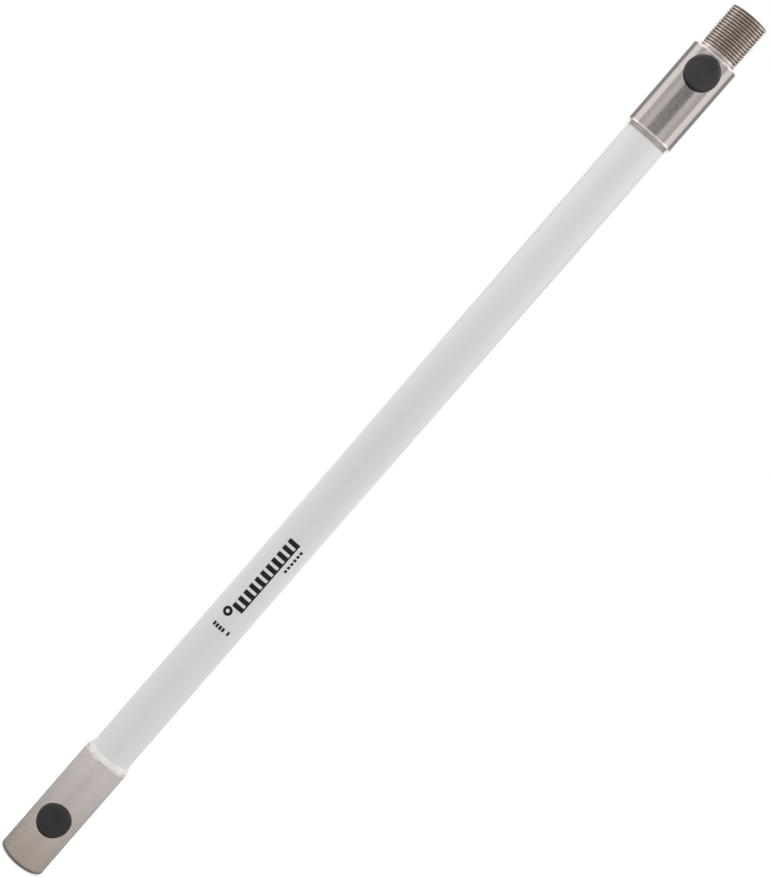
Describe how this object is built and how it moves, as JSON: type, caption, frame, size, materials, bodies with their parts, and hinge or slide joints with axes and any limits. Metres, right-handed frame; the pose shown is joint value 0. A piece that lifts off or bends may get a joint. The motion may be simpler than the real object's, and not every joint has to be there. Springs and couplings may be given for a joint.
{
  "type": "antenna extension mast",
  "caption": "Straight white fibreglass extension mast with steel ferrules, a female thread below, a threaded stud on top and side cable ports closed by push-in plugs.",
  "frame": {"origin": "centre of the lower ferrule's bottom face, on the mast's axis, where the base thread begins", "axes": "+Z along the mast from the base thread to the stud, -Y out of both cable ports, +X to the right when looking at the ports"},
  "size_m": [0.0304, 0.0324, 0.6508],
  "materials": {
    "fibreglass_white": "smooth white coat on glass fibre, semi-gloss",
    "ferrule_steel": "turned stainless steel, satin",
    "bond_resin": "cured off-white epoxy",
    "plug_black": "moulded black polyethylene, satin",
    "print_ink": "black screen-printed ink"
  },
  "bodies": {
    "mast": {"mast_tube": "fibreglass_white", "lower_ferrule": "ferrule_steel", "upper_ferrule": "ferrule_steel", "lower_adhesive": "bond_resin", "upper_adhesive": "bond_resin", "printed_mark": "print_ink"},
    "lower_plug": {"lower_plug": "plug_black"},
    "upper_plug": {"upper_plug": "plug_black"}
  },
  "joints": [
    {"name": "lower_plug_pull", "type": "slide", "parent": "mast", "child": "lower_plug", "axis": [0, -1, 0], "range_m": [0, 0.025]},
    {"name": "upper_plug_pull", "type": "slide", "parent": "mast", "child": "upper_plug", "axis": [0, -1, 0], "range_m": [0, 0.025]}
  ]
}
